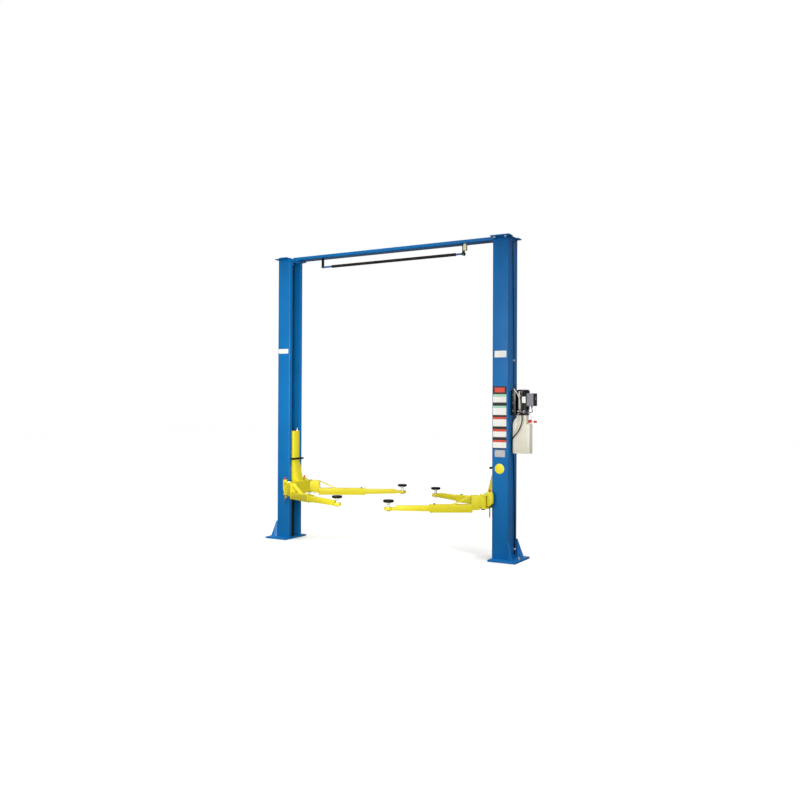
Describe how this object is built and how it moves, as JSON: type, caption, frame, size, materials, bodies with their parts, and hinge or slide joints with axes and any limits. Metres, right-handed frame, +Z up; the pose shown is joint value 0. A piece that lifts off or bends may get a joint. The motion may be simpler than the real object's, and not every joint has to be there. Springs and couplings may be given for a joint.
{
  "type": "two post car lift",
  "caption": "Clear-floor car lift: columns joined by a top beam, sliding carriages, telescopic swing arms with screw pads, side power unit",
  "frame": {"origin": "on the floor, midway between the two columns, at the centre of the anchor holes", "axes": "X along the top beam towards the column with the power unit, -Y the front, Z up"},
  "size_m": [3.66, 1.7749, 3.662],
  "materials": {
    "blue_paint": "smooth mid blue powder coat",
    "yellow_paint": "lemon yellow powder coat over plain welds",
    "black_rubber": "matt black rubber",
    "dark_nylon": "greased slide nylon",
    "bright_steel": "bright zinc plated steel",
    "red_plastic": "glossy red plastic",
    "black_paint": "satin black enamel",
    "cream_plastic": "cream moulded plastic",
    "grey_plastic": "light grey moulded plastic",
    "cast_aluminium": "machined cast aluminium",
    "grey_paint": "dark grey enamel",
    "zinc_plate": "yellow passivated zinc"
  },
  "bodies": {
    "frame": {"left_column": "blue_paint", "right_column": "blue_paint", "left_base": "blue_paint", "right_base": "blue_paint", "anchor_bolts": "zinc_plate", "top_plates": "blue_paint", "beam_brackets": "blue_paint", "overhead_beam": "blue_paint", "bar_straps": "black_paint", "limit_switch": "cream_plastic", "lift_cylinders": "grey_paint", "motor_bracket": "black_paint", "pump_motor": "black_paint", "control_box": "grey_plastic", "pump_block": "cast_aluminium", "oil_tank": "cream_plastic", "filler_cap": "red_plastic", "release_lever": "red_plastic", "pressure_hose": "black_rubber", "switch_cable": "black_rubber", "cable_clips": "cream_plastic"},
    "shutoff_bar": {"shutoff_rod": "blue_paint", "shutoff_padding": "black_rubber"},
    "left_lift": {"left_carriage": "yellow_paint", "left_slides": "dark_nylon", "left_carrier": "yellow_paint", "left_bumper": "black_rubber", "left_pivot_pins": "bright_steel", "left_lock_pins": "red_plastic"},
    "right_lift": {"right_carriage": "yellow_paint", "right_slides": "dark_nylon", "right_carrier": "yellow_paint", "right_bumper": "black_rubber", "right_pivot_pins": "bright_steel", "right_lock_pins": "red_plastic"},
    "left_rear_tube": {"left_rear_arm": "yellow_paint"},
    "left_rear_inner": {"left_rear_extension": "yellow_paint"},
    "left_rear_foot": {"left_rear_screw": "bright_steel", "left_rear_pad": "black_rubber"},
    "left_front_tube": {"left_front_arm": "yellow_paint"},
    "left_front_inner": {"left_front_extension": "yellow_paint"},
    "left_front_foot": {"left_front_screw": "bright_steel", "left_front_pad": "black_rubber"},
    "right_front_tube": {"right_front_arm": "yellow_paint"},
    "right_front_inner": {"right_front_extension": "yellow_paint"},
    "right_front_foot": {"right_front_screw": "bright_steel", "right_front_pad": "black_rubber"},
    "right_rear_tube": {"right_rear_arm": "yellow_paint"},
    "right_rear_inner": {"right_rear_extension": "yellow_paint"},
    "right_rear_foot": {"right_rear_screw": "bright_steel", "right_rear_pad": "black_rubber"}
  },
  "joints": [
    {"name": "left_lift_slide", "type": "slide", "parent": "frame", "child": "left_lift", "axis": [0, 0, 1], "range_m": [-0.46, 1.2]},
    {"name": "right_lift_slide", "type": "slide", "parent": "frame", "child": "right_lift", "axis": [0, 0, 1], "range_m": [-0.46, 1.2]},
    {"name": "shutoff_hinge", "type": "hinge", "parent": "frame", "child": "shutoff_bar", "pos_m": [-1.005, 0, 3.516], "axis": [0, -1, 0], "range_deg": [0, 1.5]},
    {"name": "left_rear_swing", "type": "hinge", "parent": "left_lift", "child": "left_rear_tube", "pos_m": [-1.365, 0.226, 0.67], "axis": [0, 0, 1], "range_deg": [-22, 64]},
    {"name": "left_rear_extend", "type": "slide", "parent": "left_rear_tube", "child": "left_rear_inner", "axis": [0.8625, 0.506, 0], "range_m": [-0.4, 0.05]},
    {"name": "left_rear_screw_lift", "type": "slide", "parent": "left_rear_inner", "child": "left_rear_foot", "axis": [0, 0, 1], "range_m": [-0.045, 0]},
    {"name": "left_front_swing", "type": "hinge", "parent": "left_lift", "child": "left_front_tube", "pos_m": [-1.365, -0.226, 0.67], "axis": [0, 0, -1], "range_deg": [-17, 69]},
    {"name": "left_front_extend", "type": "slide", "parent": "left_front_tube", "child": "left_front_inner", "axis": [0.9033, -0.4289, 0], "range_m": [-0.36, 0]},
    {"name": "left_front_screw_lift", "type": "slide", "parent": "left_front_inner", "child": "left_front_foot", "axis": [0, 0, 1], "range_m": [-0.045, 0]},
    {"name": "right_front_swing", "type": "hinge", "parent": "right_lift", "child": "right_front_tube", "pos_m": [1.365, -0.226, 0.67], "axis": [0, 0, 1], "range_deg": [-24, 62]},
    {"name": "right_front_extend", "type": "slide", "parent": "right_front_tube", "child": "right_front_inner", "axis": [-0.8396, -0.5432, 0], "range_m": [-0.19, 0.168]},
    {"name": "right_front_screw_lift", "type": "slide", "parent": "right_front_inner", "child": "right_front_foot", "axis": [0, 0, 1], "range_m": [-0.045, 0]},
    {"name": "right_rear_swing", "type": "hinge", "parent": "right_lift", "child": "right_rear_tube", "pos_m": [1.365, 0.226, 0.67], "axis": [0, 0, -1], "range_deg": [-16, 70]},
    {"name": "right_rear_extend", "type": "slide", "parent": "right_rear_tube", "child": "right_rear_inner", "axis": [-0.9085, 0.4179, 0], "range_m": [-0.375, 0.075]},
    {"name": "right_rear_screw_lift", "type": "slide", "parent": "right_rear_inner", "child": "right_rear_foot", "axis": [0, 0, 1], "range_m": [-0.045, 0]}
  ],
  "couplings": [
    {"joint": "right_lift_slide", "follows": "left_lift_slide", "ratio": 1}
  ]
}
